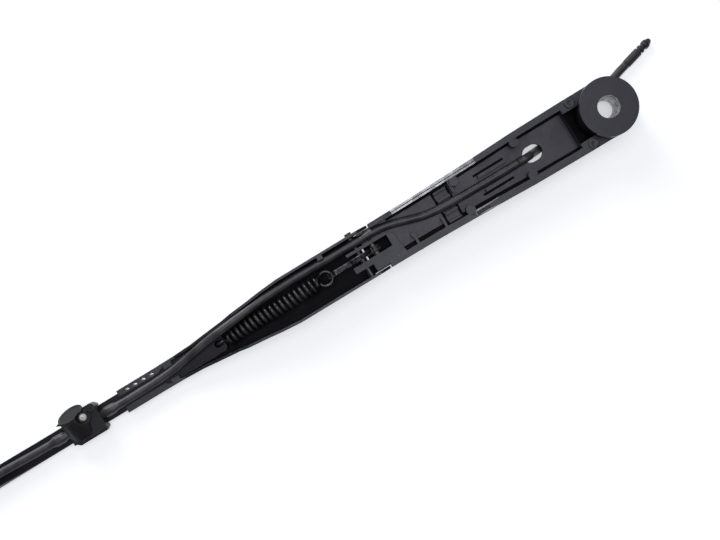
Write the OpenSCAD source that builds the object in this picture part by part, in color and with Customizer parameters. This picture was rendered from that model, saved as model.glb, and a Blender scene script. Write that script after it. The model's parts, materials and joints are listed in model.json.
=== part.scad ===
// Windscreen wiper arm with a washer hose and two clip-on jets
// It lies on its back: +X runs to the tip, +Z points at the glass, lengths in mm
// Zero is on the spindle axis, at the face that the spindle nut seats on

/* [Spindle boss] */
// Radius of the boss
boss_r = 16; // [15.5:0.25:18]
// Height of the boss face above the nut seat
boss_h = 14; // [12:0.5:17]
// Radius of the spindle bore at the boss face
bore_mouth_r = 6.15; // [5.6:0.05:6.6]
// Radius of the straight land at the small end of the bore
bore_land_r = 4.9; // [4.4:0.05:5.4]
// Length of the straight land
bore_land_h = 4; // [3:0.5:6]
// Radius of the recess for the nut
nut_r = 9.5; // [8.5:0.25:10]
// Wall of the ring round the nut recess
nut_wall = 1.8; // [1.4:0.1:2.2]
// Depth of the nut recess
nut_depth = 4.6; // [4:0.1:5]

/* [Head casting] */
// Distance from the spindle axis to the end of the wide body
head_len = 140.5; // [139.5:0.1:141]
// Half width behind the boss
head_half_start = 15.65; // [15:0.05:15.9]
// Half width at the end of the wide body
head_half_end = 13.25; // [13.1:0.05:13.6]
// Thickness of the rim wall behind the boss
rim_wall = 4.1; // [3.8:0.1:4.4]
// Thickness of the rim wall at the pivot, on the hose's side
rim_end_wall = 2.4; // [2.2:0.1:2.5]
// Thickness of the rim wall at the pivot, on the far side
rim_far_wall = 3.6; // [3.2:0.1:3.9]
// Width of the groove between the web and the rim
trench_w = 1.3; // [1:0.1:1.6]
// Height of the rim above the nut seat behind the boss
rim_h = 8; // [7:0.25:9.5]
// Height of the rim above the nut seat at the pivot
rim_end_h = 6.5; // [6.25:0.25:7]
// Height of the web's open face above the nut seat
web_top = 0.5; // [0.3:0.1:0.8]
// Thickness of the web
web_t = 2.5; // [2:0.1:3]
// Depth of the back tray below the nut seat
back_d = 10; // [9.8:0.1:10.6]
// Wall round the back tray
tray_wall = 2; // [1.6:0.1:2.2]

/* [Pivot] */
// Distance from the spindle axis to the pivot axis
pivot_x = 152.2; // [152:0.1:153]
// Depth of the pivot axis below the nut seat
pivot_drop = 3.5; // [3.3:0.1:3.6]
// Radius of the pivot pin
pin_r = 2.25; // [2.1:0.05:2.3]
// Wall of the bush in each ear
bush_wall = 0.8; // [0.6:0.1:1]
// Running clearance of the pin in its bushes
pin_gap = 0.05; // [0.03:0.01:0.08]
// Radius of the ears' underside round the pivot
nose_r = 4.8; // [4.6:0.05:4.85]
// Reach of the ears past the pivot axis
ear_reach = 6.8; // [6:0.1:7.5]
// Half width of the pocket for the link
pocket_half = 3.35; // [3:0.05:3.5]
// Thickness of the thin ear
ear_thin = 1.6; // [1.4:0.1:2]
// Thickness of the thick ear
ear_thick = 3.4; // [3:0.1:3.6]
// Clearance of the tongue's wings inside the channel
wing_gap = 0.35; // [0.3:0.05:0.6]
// Radius of the pin that anchors the link
anchor_r = 1.75; // [1.6:0.05:1.9]
// Distance of the anchor pin from the pivot axis, towards the spindle
anchor_back = 8.5; // [8.2:0.1:8.8]
// Height of the anchor pin above the pivot axis
anchor_up = 5.5; // [5.3:0.1:5.7]

/* [Channel] */
// Distance from the pivot axis to the end of the crimp
channel_len = 151; // [148:0.5:156]
// Half width of the channel at the pivot
channel_half = 13.4; // [13.3:0.05:13.8]
// Thickness of the folded sheet
sheet_t = 1.4; // [1.2:0.05:1.5]
// Radius of the rounded wall ends at the pivot
cheek_r = 11; // [10.6:0.1:11.2]
// Height of the channel walls above the nut seat
wall_top = 6.5; // [6:0.1:7]
// Length of the crimp that grips the rod
crimp_len = 33.5; // [31:0.5:35]
// Width of the crimp's flanges over the rod
crimp_lap = 2.1; // [1.8:0.1:2.3]

/* [Rod] */
// Half width of the flat rod
rod_half = 5.35; // [5:0.05:5.6]
// Thickness of the rod
rod_t = 3.6; // [3.2:0.1:3.8]
// Distance from the spindle axis to the rod's tail
rod_tail_x = 239; // [238.5:0.1:240]
// Distance from the spindle axis to the outside of the tip hook
rod_tip_x = 556; // [545:1:570]
// Rise of the rod towards the glass at the tip
rod_rise = 17; // [12:0.5:22]
// Twist of the rod past the first jet, in degrees
rod_twist = 20; // [10:1:30]
// Outer radius of the tip hook
hook_r = 7.6; // [7.5:0.1:8.5]
// Length of the hook's free leg
hook_leg = 17; // [12:0.5:22]

/* [Spring] */
// Outer radius of the coils
spring_r = 5; // [4.7:0.1:5.1]
// Thickness of the wire
wire_d = 2.2; // [1.8:0.1:2.3]
// Number of turns
spring_turns = 18; // [14:1:20]
// Length of the coiled part
spring_len = 56; // [54:0.5:58]
// Distance from the spindle axis to the first coil
spring_x = 178.5; // [178:0.1:180]
// Thickness of the link
link_t = 3; // [2.4:0.1:3.4]
// Width of the link's strip
link_w = 2.6; // [2.2:0.1:2.8]

/* [Hose and jets] */
// Radius of the washer hose
hose_r = 2.25; // [2:0.05:2.3]
// Clearance round the hose in its guides
hose_gap = 0.3; // [0.2:0.05:0.4]
// Length of the sleeve and connector on the loose end
connector_len = 18.4; // [16:0.2:20]
// Distance from the spindle axis to the first jet
jet_x = 316; // [314:0.5:320]
// Distance between the two jets
jet_step = 142; // [130:1:150]
// Length of the jet's saddle along the rod
jet_len = 20; // [19:0.5:21.5]
// Radius of the jet's ball
ball_r = 2.2; // [1.9:0.1:2.3]
// Radius of the round cap on the jet
cap_r = 7.5; // [6.5:0.1:8]

/* [Hidden] */
$fn = 64;
// Overrun of every cut
over = 0.5;
// Clearance between pieces that seat on each other
seat = 0.05;

// Derived places
back_z = -back_d;
web_z = web_top - web_t;
pivot_z = -pivot_drop;
anchor_x = pivot_x - anchor_back;
anchor_z = pivot_z + anchor_up;
sheet_z = back_z + sheet_t;
rod_z = sheet_z;
rod_top = rod_z + rod_t;
crimp_x1 = pivot_x + channel_len;
crimp_x0 = crimp_x1 - crimp_len;
crimp_in = rod_half + seat;
crimp_half = crimp_in + sheet_t;
crimp_top = rod_top + seat + sheet_t;
bush_r = pin_r + pin_gap + bush_wall;
lump = boss_r / 4.7;
hose_shift = 0.4;

// Outline of the head: share along its length, share of its extra width
head_shares = [[0.14, 1], [0.366, 0.83], [0.517, 0.5], [0.706, 0.23], [0.8, 0.08], [1, 0]];
// Outline of the channel: share along its length, share of its extra width
channel_shares = [[0.3, 1], [0.374, 0.86], [0.43, 0.71], [0.503, 0.556], [0.54, 0.42],
    [0.632, 0.222], [0.685, 0.095], [0.758, 0.03], [0.848, 0], [1, 0]];

// Extrudes a plan between two heights
module between(low, high) {
    translate([0, 0, low]) linear_extrude(high - low) children();
}
// Extrudes a side view, drawn in X and Z, between two places across the arm
module across(near, far) {
    translate([0, far, 0]) rotate([90, 0, 0]) linear_extrude(far - near) children();
}
// A bar with round ends in a side view or a plan
module stroke(from, to, width) {
    run = to - from;
    translate(from) circle(d = width);
    translate(to) circle(d = width);
    translate(from) rotate(atan2(run[1], run[0]))
        translate([0, -width / 2]) square([norm(run), width]);
}
// A square with its middle at zero across the arm
module strip(x0, x1, half) {
    translate([x0, -half]) square([x1 - x0, 2 * half]);
}

// Frames carried along a path without twist, and the tube round them
function unit(v) = v / norm(v);
function along(path, i) = unit(path[min(i + 1, len(path) - 1)] - path[max(i - 1, 0)]);
function square_to(v, t) = unit(v - (v * t) * t);
function normals(path, first) = [
    for (i = 0, n = square_to(first, along(path, 0)); i < len(path);
        i = i + 1, n = square_to(n, along(path, min(i, len(path) - 1)))) n];
module tube(path, r, sides, first = [0, 0, 1]) {
    n = normals(path, first);
    points = [for (i = [0 : len(path) - 1]) let (t = along(path, i), b = cross(t, n[i]))
        for (k = [0 : sides - 1]) let (a = 360 * k / sides)
            path[i] + r * (cos(a) * n[i] + sin(a) * b)];
    last = (len(path) - 1) * sides;
    faces = concat([[for (k = [sides - 1 : -1 : 0]) k]],
        [for (i = [0 : len(path) - 2]) for (k = [0 : sides - 1])
            [i * sides + k, i * sides + (k + 1) % sides,
             (i + 1) * sides + (k + 1) % sides, (i + 1) * sides + k]],
        [[for (k = [0 : sides - 1]) last + k]]);
    polyhedron(points, [for (f = faces) [for (j = [len(f) - 1 : -1 : 0]) f[j]]]);
}

// Head casting
function head_half(share) = head_half_end + (head_half_start - head_half_end) * share;
tray_x = boss_r + 1.65 * lump;
block_x = head_len - 2.9 * lump;
tongue_end = pivot_x + ear_reach;
ear_low = -pocket_half - ear_thin;
ear_high = pocket_half + ear_thick;
function head_edge(first, last) = concat([[0, head_half_start - first]],
    [for (s = head_shares) [head_len * s[0], head_half(s[1]) - first + (first - last) * s[0]]]);
module head_plan(first, near_last, far_last) {
    near = head_edge(first, near_last);
    polygon(concat(head_edge(first, far_last),
        [for (i = [len(near) - 1 : -1 : 0]) [near[i][0], -near[i][1]]]));
}
// Plan of the raised block that holds the pivot and the pocket
block_slant = lump / 2;
wing_half = channel_half - sheet_t - wing_gap;
module block_plan() {
    polygon([[block_x - block_slant, head_half_end], [block_x, ear_high / 2],
        [block_x + block_slant / 4, ear_low / 3],
        [head_len - 1.6 * lump, ear_low], [tongue_end, ear_low], [tongue_end, ear_high],
        [wing_x, ear_high], [wing_x, wing_half - lump / 4],
        [head_len, wing_half - lump / 4], [head_len, head_half_end]]);
}
// Side view of the tongue, with a flat stop under its nose
module tongue_side() {
    under = pivot_z - 0.75 * nose_r;
    translate([block_x - 2 * block_slant, under])
        square([tongue_end - block_x + 2 * block_slant, rim_end_h - under]);
    translate([pivot_x, pivot_z]) circle(nose_r);
    translate([pivot_x, pivot_z - nose_r]) square([ear_reach, nose_r]);
}
// Floor of the tongue: as wide as the channel's inside, and hollowed for the pivot pin
wing_x = pivot_x - 1.1 * lump;
module tongue_floor() {
    across(-wing_half, wing_half) {
        translate([head_len - lump, pivot_z - 0.75 * nose_r])
            square([wing_x - head_len + lump, web_top - pivot_z + 0.75 * nose_r]);
        intersection() {
            translate([pivot_x, pivot_z]) circle(nose_r);
            translate([pivot_x - nose_r, pivot_z - nose_r])
                square([2 * nose_r, nose_r - pin_r - hose_gap]);
        }
    }
}
slot_x = 0.277 * head_len;
slot_len = 11.3;
slot_half = 4.4;
sump_t = 1.5;
sump_half = boss_r - 2 * lump;
module sump_plan() {
    strip(boss_r - 2 * lump, tray_x + sump_t, sump_half + sump_t);
}
module hose_slot() {
    stroke([slot_x + slot_half, 0], [slot_x + slot_len - slot_half, 0], 2 * slot_half);
}
module head_casting() color([0.09, 0.09, 0.1]) difference() {
    union() {
        difference() {
            union() {
                cylinder(r = boss_r, h = boss_h);
                between(back_z, 0) circle(boss_r);
                between(back_z, rim_h) head_plan(0, 0, 0);
            }
            // Rim height falls towards the pivot
            across(-2 * boss_r, 2 * boss_r) polygon([[boss_r, rim_h], [head_len + over, rim_end_h],
                [head_len + over, boss_h + over], [boss_r, boss_h + over]]);
            // Glass side recess down to the web
            between(web_top, boss_h + over) intersection() {
                head_plan(rim_wall, rim_end_wall, rim_far_wall);
                strip(tray_x, head_len, boss_r);
            }
            // Grooves along both sides of the web
            between(recess_z, web_top + over) intersection() {
                difference() {
                    head_plan(rim_wall, rim_end_wall, rim_far_wall);
                    head_plan(rim_wall + trench_w, rim_end_wall + trench_w, rim_far_wall + 2 * trench_w);
                }
                strip(tray_x, block_x, boss_r);
            }
            between(web_top, boss_h + over)
                strip(head_len - over, head_len + over, head_half_end - rim_end_wall);
            // Back tray
            between(back_z - over, web_z) intersection() {
                union() {
                    head_plan(tray_wall, tray_wall, tray_wall);
                    circle(boss_r - tray_wall);
                }
                strip(-boss_r, head_len - lump, boss_r);
            }
        }
        // Ring round the nut recess
        between(-nut_depth, 0) circle(nut_r + nut_wall);
        // Lower floor between the boss and the web
        between(-nut_depth, -nut_depth + sump_t) sump_plan();
        between(-nut_depth, web_z) difference() {
            sump_plan();
            strip(boss_r - 2 * lump - over, tray_x, sump_half);
        }
        // Tongue with its ears
        intersection() {
            between(back_z, rim_end_h) block_plan();
            across(-boss_r, boss_r) tongue_side();
        }
        tongue_floor();
        cross_ribs();
        guide_ribs();
        corner_bosses();
    }
    // Deep pocket between the boss and the web
    between(-nut_depth + sump_t, boss_h + over) difference() {
        strip(boss_r - 2 * lump, tray_x, sump_half);
        circle(boss_r - over);
    }
    // Spindle bore: a taper with a straight land at its small end
    translate([0, 0, -over]) cylinder(r = bore_land_r, h = bore_land_h + 2 * over);
    translate([0, 0, bore_land_h])
        cylinder(r1 = bore_land_r, r2 = bore_mouth_r, h = boss_h - bore_land_h);
    translate([0, 0, boss_h - over / 2]) cylinder(r = bore_mouth_r, h = over);
    // Nut recess
    between(-nut_depth - over, 0) circle(nut_r);
    between(web_z - over, boss_h) hose_slot();
    rib_windows();
    clip_recess();
    rim_marks();
    // Way out for the hose tail in the tray wall
    translate([notch_from[0], notch_from[1], back_z - over]) rotate(notch_turn)
        translate([0, -hose_r - 2 * hose_gap, 0])
            cube([boss_r, 2 * hose_r + 4 * hose_gap, 2 * hose_r + 2 * hose_gap + over]);
    // Pocket for the link, open through the nose
    between(pivot_z - nose_r - over, rim_end_h + over)
        strip(pivot_x - nose_r + over, tongue_end + over, pocket_half);
    between(pivot_z - 0.45 * nose_r, rim_end_h + over)
        strip(block_x + 1.2 * lump, tongue_end + over, pocket_half);
    // Bores for the bushes and the anchor pin
    translate([pivot_x, 0, pivot_z]) rotate([90, 0, 0])
        cylinder(r = bush_r + seat, h = 4 * boss_r, center = true);
    translate([anchor_x, ear_high - ear_thick / 2, anchor_z]) rotate([90, 0, 0])
        cylinder(r = anchor_r + seat, h = 2 * boss_r);
}
// Ribs that guide the hose, and the windows they stand in
rib_x0 = 0.425 * head_len;
rib_x1 = 0.545 * head_len;
rib_w = 1.9;
window_w = 1.3;
rib_y = 2 * hose_gap + hose_r + rib_w / 2 + hose_shift;
rib_top = web_top + 1.6 * hose_r;
module guide_ribs() {
    for (side = [-1, 1])
        between(web_z, rib_top) translate([0, side * rib_y])
            strip(rib_x0, rib_x1, rib_w / 2);
}
module rib_windows() {
    for (side = [-1, 1])
        between(recess_z, web_top + over)
            translate([0, side * (rib_y + rib_w / 2 + window_w / 2)])
                strip(rib_x0, rib_x1 + rib_w, window_w / 2);
}
// Thin ribs across the web, the last with a round end
cross_t = 1.5;
cross_shares = [[0.654, -1], [0.744, 1], [0.868, 1]];
cross_from = hose_r + hose_gap + cross_t;
module cross_ribs() {
    for (c = cross_shares)
        between(web_z, rim_end_h - cross_t)
            translate([c[0] * head_len, c[1] > 0 ? cross_from : -head_half(0.3) + over])
                translate([-cross_t / 2, 0]) square([cross_t, head_half(0.3) - over - cross_from]);
    between(web_z, rim_end_h - cross_t)
        translate([cross_shares[2][0] * head_len, cross_from + over / 2]) circle(cross_t);
}
// Recess for the hose clip
clip_x0 = 0.662 * head_len;
clip_x1 = 0.735 * head_len;
clip_in = hose_r + hose_gap + over / 2 + hose_shift;
clip_out = 0.71 * head_half_end;
recess_z = web_z + 0.32 * web_t;
clip_z = web_z + 0.2 * web_t;
module clip_recess() {
    between(clip_z, web_top + over) strip(clip_x0, clip_x1, clip_out);
}
// Marks in the rim: a sloped edge and a fine groove, a shallow step, a dimple
slope_x0 = 0.528 * head_len;
slope_x1 = 0.9 * head_len;
slope_h0 = rim_h + (rim_end_h - rim_h) * 0.52;
slope_h1 = rim_h + (rim_end_h - rim_h) * 0.89;
slope_in0 = head_half(0.48) - 0.77 * rim_wall;
slope_in1 = head_half(0.03) - 0.63 * rim_wall;
slope_run = slope_x1 - slope_x0;
slope_yaw = atan((slope_in0 - slope_in1) / slope_run);
slope_dip = atan((slope_h0 - slope_h1) / slope_run);
module on_slope(tilt) translate([slope_x0, -slope_in0, slope_h0])
    rotate([tilt, slope_dip, slope_yaw]) children();
step_x0 = 0.566 * head_len;
step_x1 = 0.623 * head_len;
module rim_marks() {
    on_slope(28) translate([0, -boss_r, 0]) cube([slope_run, boss_r, boss_r]);
    on_slope(28) translate([0, -1.7, -trench_w / 3]) cube([slope_run, trench_w / 3, trench_w]);
    translate([step_x0, head_half(0.4) - 0.72 * rim_wall, rim_h - 1.05 * trench_w])
        rotate([-8, 0, 0]) cube([step_x1 - step_x0, 0.5 * rim_wall, 2 * rim_wall]);
    translate([0.909 * head_len, -head_half_end + rim_end_wall / 2, rim_end_h - over / 2])
        cylinder(r = trench_w / 2, h = rim_wall);
    for (side = [-1, 1])
        translate([boss_r - over, side * (boss_r - lump), rim_h + lump / 2 - over])
            cylinder(r = 0.3 * lump, h = lump);
}
module corner_bosses() {
    for (side = [-1, 1]) {
        translate([boss_r - over, side * (boss_r - lump), 0])
            cylinder(r = 0.85 * lump, h = rim_h + lump / 2);
        translate([0.365 * head_len, side * (head_half(0.83) - 1.5 * lump), web_z])
            cylinder(r = 0.78 * lump, h = rim_h - web_z - lump / 4);
        translate([0.635 * head_len, side * (head_half(0.33) - 1.5 * lump), web_z])
            cylinder(r = 0.78 * lump, h = rim_h - web_z - lump / 4);
    }
}

// Bushes in the two ears
module bush(low, high) {
    translate([pivot_x, high, pivot_z]) rotate([90, 0, 0]) difference() {
        cylinder(r = bush_r, h = high - low);
        translate([0, 0, -over]) cylinder(r = pin_r + pin_gap, h = high - low + 2 * over);
    }
}
module bush_thin_ear() color([0.55, 0.45, 0.25]) bush(ear_low, -pocket_half);
module bush_thick_ear() color([0.55, 0.45, 0.25]) bush(pocket_half, ear_high);
module anchor_pin() color([0.5, 0.5, 0.52])
    translate([anchor_x, ear_high - ear_thick / 2 - seat, anchor_z]) rotate([90, 0, 0])
        cylinder(r = anchor_r, h = ear_high - ear_low - ear_thick / 2 - seat);

// Clip with two fingers for the hose and two outer legs, set in its recess
clip_t = 1.3;
clip_low = clip_z + seat;
clip_len = 0.75 * (clip_x1 - clip_x0);
clip_mid = (clip_x0 + clip_x1) / 2;
module hose_clip() color([0.12, 0.12, 0.13]) {
    between(clip_low, clip_low + over)
        strip(clip_mid - clip_len / 2, clip_mid + clip_len / 2, clip_out - 2 * seat);
    for (side = [-1, 1]) {
        between(clip_low, web_top + 1.5 * hose_r)
            translate([0, side * (clip_in + clip_t / 2 + seat)])
                strip(clip_mid - clip_len / 2, clip_mid + clip_len / 2, clip_t / 2);
        between(clip_low, web_top + clip_t)
            translate([0, side * (clip_out - clip_t / 2 - 2 * seat)])
                strip(clip_mid - clip_len / 2, clip_mid + clip_len / 2, clip_t / 2);
    }
}

// Hose route points, chosen by hand
head_route = [[54, 0.5, 2.8], [66, 0.5, 2.8], [78, 0.4, 2.8], [88, 0.2, 2.8], [98, -0.1, 2.8],
    [108, -0.9, 2.8], [114, -2.1, 2.8], [120, -3.9, 2.8], [126, -5.8, 2.8], [131, -7.1, 2.8],
    [136, -8, 2.8], [142, -8.3, 2.8], [147, -8.3, 2.8], [152.05, -8.3, 2.8]];
arm_route = [[152.35, -8.3, 2.8], [163, -8.4, 2.8], [174, -8.6, 2.8], [190, -8.8, 2.8],
    [205, -8.4, 2.8], [216, -7.6, 2.9], [227, -6.5, 3.1], [238, -5.3, 3.1], [248, -4.2, 0.8],
    [259, -2.4, -1.4], [270, -0.7, -2.4], [282, 0.1, -2.7], [294, 0.3, -2.7], [306, 0.3, -2.7],
    [320, 0, -2.7], [334, 0, -2.7], [346, -0.3, -2.7], [358, -0.5, -2.5], [372, -1, -2.2],
    [388, -1.4, -1.7], [404, -1.4, -0.9], [420, -1.4, 0.2], [436, -1.4, 1.5], [450, -1.4, 2.8],
    [462, -1.4, 3.95], [474, -1.4, 5.2]];
tail_route = [[54, 0.5, 2.8], [51.5, 0.5, 2.8], [49.2, 0.5, 2.85], [46.9, 0.4, 1.8],
    [45.2, 0.2, -0.8], [43, 0.1, -3.8], [40, -0.1, -6.2], [36, -0.5, -7.3], [28, -2, -7.5],
    [21, -4.6, -7.5], [14, -7.2, -7.5], [7, -9, -7.5], [0, -9.8, -7.5], [-7, -10.2, -7.5],
    [-13, -11.2, -7.5], [-20, -13.4, -7.5], [-25.8, -15, -7.5]];
// The hose crosses the tray wall between these two of its points
notch_from = tail_route[13];
notch_turn = atan2(tail_route[15][1] - notch_from[1], tail_route[15][0] - notch_from[0]);
module hose_head() color([0.1, 0.1, 0.1]) tube(head_route, hose_r, 10);
module hose_arm() color([0.1, 0.1, 0.1]) tube(arm_route, hose_r, 10);
module hose_tail() color([0.1, 0.1, 0.1]) tube(tail_route, hose_r, 10);

// Sleeve and connector on the loose end, along the last stretch of the tail
tail_end = tail_route[len(tail_route) - 1];
tail_last = tail_end - tail_route[len(tail_route) - 2];
tail_dir = atan2(tail_last[1], tail_last[0]);
sleeve_share = 0.52;
module on_tail() translate(tail_end) rotate([0, 0, tail_dir]) rotate([0, 90, 0]) children();
module hose_sleeve() color([0.1, 0.1, 0.11]) on_tail() {
    cylinder(r = 1.1 * hose_r, h = sleeve_share * connector_len);
}
module hose_connector() color([0.16, 0.16, 0.17]) on_tail()
    translate([0, 0, sleeve_share * connector_len]) rotate_extrude() polygon([
        for (p = [[0, 0], [0.8, 0], [0.8, 0.12], [1.05, 0.14], [1.05, 0.24], [0.8, 0.26],
            [0.8, 0.42], [1.08, 0.46], [1.08, 0.72], [0.85, 0.78], [0.45, 1], [0, 1]])
            [p[0] * hose_r, p[1] * (1 - sleeve_share) * connector_len]]);

// Channel folded from sheet, crimped round the rod
function channel_w(share) = crimp_half + (channel_half - crimp_half) * share;
module channel_plan(inset) {
    polygon(concat([[pivot_x - 2 * cheek_r, -channel_half + inset]],
        [for (s = channel_shares) [pivot_x + channel_len * s[0], -channel_w(s[1]) + inset]],
        [for (i = [len(channel_shares) - 1 : -1 : 0])
            [pivot_x + channel_len * channel_shares[i][0], channel_w(channel_shares[i][1]) - inset]],
        [[pivot_x - 2 * cheek_r, channel_half - inset]]));
}
back_x = pivot_x + 2;
module channel_side() {
    difference() {
        union() {
            translate([pivot_x, back_z])
                square([channel_len + over, wall_top - back_z]);
            translate([pivot_x, pivot_z]) circle(cheek_r);
        }
        translate([pivot_x - 2 * cheek_r, back_z - 2 * cheek_r])
            square([4 * cheek_r, 2 * cheek_r]);
        translate([pivot_x - 2 * cheek_r, wall_top]) square([4 * cheek_r, 2 * cheek_r]);
        // Walls fall to the crimp
        polygon([[pivot_x + 0.3 * channel_len, wall_top], [pivot_x + 0.5 * channel_len, 0.6 * wall_top],
            [pivot_x + 0.75 * channel_len, crimp_top + sheet_t],
            [crimp_x0 - 2 * sheet_t, crimp_top], [crimp_x1 + over, crimp_top],
            [crimp_x1 + over, 2 * wall_top], [pivot_x + 0.3 * channel_len, 2 * wall_top]]);
    }
}
module channel() color([0.08, 0.08, 0.09]) difference() {
    union() {
        difference() {
            intersection() {
                between(back_z, wall_top) channel_plan(0);
                across(-2 * channel_half, 2 * channel_half) channel_side();
            }
            // Inside of the open channel
            between(sheet_z, wall_top + over) intersection() {
                channel_plan(sheet_t);
                strip(pivot_x - 2 * cheek_r, crimp_x0, channel_half);
            }
            // No back under the nose of the head
            between(back_z - over, wall_top + over) intersection() {
                channel_plan(sheet_t);
                strip(pivot_x - 2 * cheek_r, back_x, channel_half);
            }
        }
        // Ledge along one wall, and a tab over the edge of the hose
        between(sheet_z - over, sheet_z + 0.8 * sheet_t) ledge_plan();
        between(wall_top - 0.8 * sheet_t, wall_top)
            translate([tab_x, -channel_half + over]) square([tab_len, tab_reach]);
    }
    // Rod passage and the gap between the flanges
    between(sheet_z, rod_top + seat) strip(crimp_x0 - over, crimp_x1 + over, crimp_in);
    between(sheet_z, crimp_top + over)
        strip(crimp_x0 - over, crimp_x1 + over, rod_half - crimp_lap);
    // Slanted notch behind the first stretch of each flange
    for (side = [-1, 1]) between(rod_top + seat / 2, crimp_top + over)
        polygon([[notch_x0, side * crimp_in], [notch_x0, side * (rod_half - crimp_lap - over)],
            [notch_x1, side * (rod_half - crimp_lap - over)]]);
    // Slanted tool marks on one flange
    for (i = [0 : 3])
        translate([crimp_x0 + crimp_len * (0.372 + 0.153 * i), -(crimp_half - crimp_lap), crimp_top])
            rotate([0, 0, -30]) translate([0, 0, mark_r - mark_deep]) rotate([0, 90, 0])
                cylinder(r = mark_r, h = 2.1 * sheet_t, center = true);
    // Holes for the pivot pin's necks
    translate([pivot_x, 0, pivot_z]) rotate([90, 0, 0])
        cylinder(r = neck_r + seat, h = 4 * channel_half, center = true);
}
notch_x0 = crimp_x0 + 0.15 * crimp_len;
notch_x1 = crimp_x0 + 0.285 * crimp_len;
mark_r = 0.96 * sheet_t;
mark_deep = 0.3 * sheet_t;
tab_x = pivot_x + 0.116 * channel_len;
tab_len = 2.3 * sheet_t;
tab_reach = channel_half - sheet_t - hose_r * 0.78;
ledge_in = 2.9 * sheet_t;
module ledge_plan() intersection() {
    difference() {
        channel_plan(sheet_t / 2);
        channel_plan(ledge_in);
    }
    translate([pivot_x + 0.11 * channel_len, 0]) square([0.3 * channel_len, channel_half]);
}
neck_r = 0.75 * pin_r;

// Pivot pin, shouldered between the walls and peened outside
pin_half = channel_half - sheet_t - seat;
peen_t = 1.5;
peen_r = 0.87 * pin_r;
module pivot_pin() color([0.3, 0.3, 0.32])
    translate([pivot_x, 0, pivot_z]) rotate([90, 0, 0]) {
        cylinder(r = pin_r, h = 2 * pin_half, center = true);
        translate([0, 0, -channel_half]) cylinder(r = neck_r, h = 2 * channel_half + peen_t);
        translate([0, 0, channel_half + seat]) cylinder(r = peen_r, h = peen_t);
    }

// Rod: straight in the crimp, then a gentle twist and rise to the tip hook
hook_x = rod_tip_x - hook_r;
bend_x = jet_x + jet_len + 2 * rod_half;
hook_hole_x = rod_tail_x + rod_half - sheet_t;
function rise(s) = rod_rise * s * s * (1.5 - 0.5 * s);
function ease(s) = s <= 0 ? 0 : s >= 1 ? 1 : s * s * (3 - 2 * s);
rod_steps = 26;
rod_path = [for (i = [0 : rod_steps]) let (s = i / rod_steps)
    [bend_x + s * (hook_x - bend_x), 0, rod_z + rod_t / 2 + rise(s)]];
hook_steps = 14;
hook_mid_r = hook_r - rod_t / 2;
tip = rod_path[rod_steps];
tip_slope = atan2(rod_path[rod_steps][2] - rod_path[rod_steps - 1][2],
    rod_path[rod_steps][0] - rod_path[rod_steps - 1][0]);
tip_along = [cos(tip_slope), 0, sin(tip_slope)];
tip_side = cos(rod_twist) * [0, 1, 0] + sin(rod_twist) * [-sin(tip_slope), 0, cos(tip_slope)];
tip_up = cross(tip_along, tip_side);
hook_c = tip + hook_mid_r * tip_up;
hook_path = [for (i = [1 : hook_steps]) let (a = 180 * i / hook_steps - 90)
    hook_c + hook_mid_r * (cos(a) * tip_along + sin(a) * tip_up)];
leg_end = hook_path[hook_steps - 1] - hook_leg * tip_along;
bar_path = concat([[bend_x - 2 * rod_half, 0, rod_z + rod_t / 2]], rod_path, hook_path, [leg_end]);
function bar_turn(i) = rod_twist * ease((i - 1) / 6);
module bar(path) {
    n = len(path);
    points = [for (i = [0 : n - 1]) let (t = along(path, i), up = unit(cross(t, [0, 1, 0])),
        a = bar_turn(i), side = i > rod_steps + 1 ? tip_side : cos(a) * [0, 1, 0] + sin(a) * up,
        top = cross(t, side))
        for (c = [[-1, -1], [1, -1], [1, 1], [-1, 1]])
            path[i] + c[0] * rod_half * side + c[1] * rod_t / 2 * top];
    faces = concat([[0, 1, 2], [0, 2, 3]],
        [for (i = [0 : n - 2]) for (k = [0 : 3]) for (tri = [0, 1])
            let (a = 4 * i + k, b = 4 * i + (k + 1) % 4)
            tri == 0 ? [a, a + 4, b] : [b, a + 4, b + 4]],
        [[4 * n - 4, 4 * n - 2, 4 * n - 3], [4 * n - 4, 4 * n - 1, 4 * n - 2]]);
    polyhedron(points, faces);
}
module rod() color([0.08, 0.08, 0.09]) union() {
    difference() {
        between(rod_z, rod_top) union() {
            strip(rod_tail_x + rod_half / 2, bend_x - rod_half, rod_half);
            strip(rod_tail_x, rod_tail_x + rod_half, rod_half / 2);
            for (side = [-1, 1]) translate([rod_tail_x + rod_half / 2, side * rod_half / 2])
                circle(rod_half / 2);
        }
        translate([hook_hole_x, 0, rod_z - over])
            cylinder(r = 0.85 * wire_d, h = rod_t + 2 * over);
    }
    bar(bar_path);
}

// Extension spring along the line from the anchor pin to the rod's tail
wire_r = wire_d / 2;
coil_r = spring_r - wire_r;
axis_tilt = atan2(anchor_z - (rod_top + 0.45 * spring_r), hook_hole_x - anchor_x);
turn_steps = 14;
coil_n = spring_turns * turn_steps;
loop_x = spring_x - anchor_x - coil_r;
coil_x0 = spring_x - anchor_x + wire_r;
coil_path = [for (i = [0 : coil_n]) let (a = 90 - 360 * i / turn_steps)
    [coil_x0 + spring_len * i / coil_n, coil_r * cos(a), coil_r * sin(a)]];
loop_path = [for (i = [0 : 13]) let (a = 10 + 300 * i / 13)
    [loop_x + coil_r * cos(a), coil_r * sin(a), 0]];
coil_end_x = coil_x0 + spring_len;
hook_far = (hook_hole_x - anchor_x) / cos(axis_tilt);
hook_rr = 1.3 * wire_d;
end_path = [for (i = [0 : 9]) let (a = 150 - 200 * i / 9)
    [hook_far - hook_rr + hook_rr * cos(a), 0, hook_rr * sin(a) - 0.2 * hook_rr]];
spring_path = concat(loop_path, [[coil_x0 - 0.4 * wire_d, -0.55 * coil_r, 0.65 * coil_r]],
    coil_path, [[coil_end_x + 0.6 * wire_d, 0.4 * coil_r, 0.55 * coil_r]], end_path);
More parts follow.
